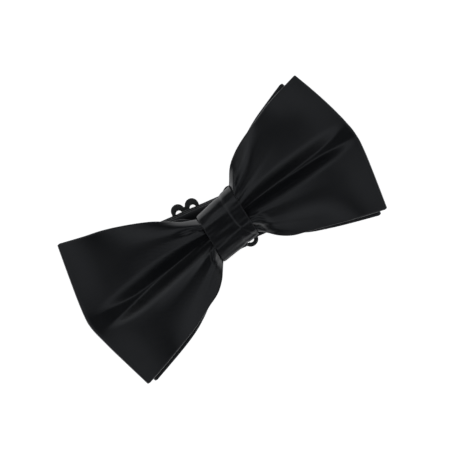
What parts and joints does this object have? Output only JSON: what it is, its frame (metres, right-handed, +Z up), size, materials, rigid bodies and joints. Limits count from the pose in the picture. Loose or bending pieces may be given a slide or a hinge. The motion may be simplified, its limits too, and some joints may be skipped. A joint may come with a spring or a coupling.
{
  "type": "bow tie",
  "caption": "Pre-tied satin bow tie: two stacked bows gathered by a knot band, on a folded adjustable neckband with slider, eye and hook.",
  "frame": {"origin": "centre of the footprint, on the surface the bow tie lies on", "axes": "+X along the bow towards its right wing, +Y across the bow, +Z up out of its face"},
  "size_m": [0.1194, 0.0606, 0.0203],
  "materials": {
    "bow_satin": "black satin weave with a cool sheen",
    "neckband_satin": "black satin strap with edge stitching",
    "interlining": "stiff non-woven interlining",
    "thread": "black sewing thread",
    "hardware": "moulded black plastic"
  },
  "bodies": {
    "bow": {"front_bow_satin": "bow_satin", "front_bow_interlining": "interlining", "front_bow_seam_stitches": "thread", "rear_bow_satin": "bow_satin", "rear_bow_interlining": "interlining", "rear_bow_seam_stitches": "thread", "gathering_thread": "thread", "knot_satin": "bow_satin", "knot_interlining": "interlining", "knot_seam_stitches": "thread", "neckband_run_1": "neckband_satin", "left_outer_fold": "neckband_satin", "right_outer_fold": "neckband_satin"},
    "left_run_2": {"left_run_2": "neckband_satin", "left_inner_fold": "neckband_satin"},
    "left_run_3": {"left_run_3": "neckband_satin", "left_end_fold": "neckband_satin"},
    "left_run_4": {"left_run_4": "neckband_satin", "left_run_4_free": "neckband_satin"},
    "slider": {"slider": "hardware", "strap_end_loop": "neckband_satin", "strap_over_slider": "neckband_satin", "slider_bar_tack": "thread", "eye_strap_upper": "neckband_satin", "eye_strap_return": "neckband_satin"},
    "eye_turn": {"eye_strap_turn": "neckband_satin"},
    "eye": {"eye": "hardware"},
    "right_run_2": {"right_run_2": "neckband_satin", "right_inner_fold": "neckband_satin"},
    "right_run_3": {"right_run_3": "neckband_satin", "right_end_fold": "neckband_satin"},
    "right_run_4": {"right_run_4": "neckband_satin", "hook_strap_turn": "neckband_satin", "hook_strap_tongue": "neckband_satin", "hook_bar_tack": "thread"},
    "hook": {"hook": "hardware"}
  },
  "joints": [
    {"name": "left_outer_fold_turn", "type": "hinge", "parent": "bow", "child": "left_run_2", "pos_m": [-0.04782, 0.01068, 0.0075], "axis": [0.2079, 0.9781, 0], "range_deg": [0, 176], "deforming": ["left_outer_fold"]},
    {"name": "left_inner_fold_turn", "type": "hinge", "parent": "left_run_2", "child": "left_run_3", "pos_m": [0.00561, -0.00007, 0.00595], "axis": [0.2079, 0.9781, 0], "range_deg": [-176, 0], "deforming": ["left_inner_fold"]},
    {"name": "left_end_fold_turn", "type": "hinge", "parent": "left_run_3", "child": "left_run_4", "pos_m": [-0.04562, 0.01144, 0.00332], "axis": [0.2079, 0.9781, 0], "range_deg": [0, 176], "deforming": ["left_end_fold"]},
    {"name": "slider_slide", "type": "slide", "parent": "left_run_4", "child": "slider", "axis": [-0.9781, 0.2079, 0], "range_m": [0, 0.02], "deforming": ["left_run_4_free"]},
    {"name": "eye_slide", "type": "slide", "parent": "slider", "child": "eye_turn", "axis": [0.9781, -0.2079, 0], "range_m": [0, 0.01], "deforming": ["eye_strap_upper", "eye_strap_return"]},
    {"name": "eye_swivel", "type": "hinge", "parent": "eye_turn", "child": "eye", "pos_m": [0.00619, 0.00073, 0.00155], "axis": [0.2079, 0.9781, 0], "range_deg": [0, 75]},
    {"name": "right_outer_fold_turn", "type": "hinge", "parent": "bow", "child": "right_run_2", "pos_m": [0.04803, -0.0097, 0.0075], "axis": [-0.2079, -0.9781, 0], "range_deg": [0, 176], "deforming": ["right_outer_fold"]},
    {"name": "right_inner_fold_turn", "type": "hinge", "parent": "right_run_2", "child": "right_run_3", "pos_m": [0.00903, -0.0008, 0.00595], "axis": [-0.2079, -0.9781, 0], "range_deg": [-176, 0], "deforming": ["right_inner_fold"]},
    {"name": "right_end_fold_turn", "type": "hinge", "parent": "right_run_3", "child": "right_run_4", "pos_m": [0.04633, -0.00811, 0.0041], "axis": [-0.2079, -0.9781, 0], "range_deg": [0, 176], "deforming": ["right_end_fold"]},
    {"name": "hook_swivel", "type": "hinge", "parent": "right_run_4", "child": "hook", "pos_m": [0.02448, -0.00316, 0.00155], "axis": [-0.2079, -0.9781, 0], "range_deg": [0, 75]}
  ],
  "couplings": [
    {"joint": "left_inner_fold_turn", "follows": "left_outer_fold_turn", "ratio": -1},
    {"joint": "left_end_fold_turn", "follows": "left_outer_fold_turn", "ratio": 1},
    {"joint": "right_inner_fold_turn", "follows": "right_outer_fold_turn", "ratio": -1},
    {"joint": "right_end_fold_turn", "follows": "right_outer_fold_turn", "ratio": 1},
    {"joint": "eye_slide", "follows": "slider_slide", "ratio": 0.5}
  ]
}
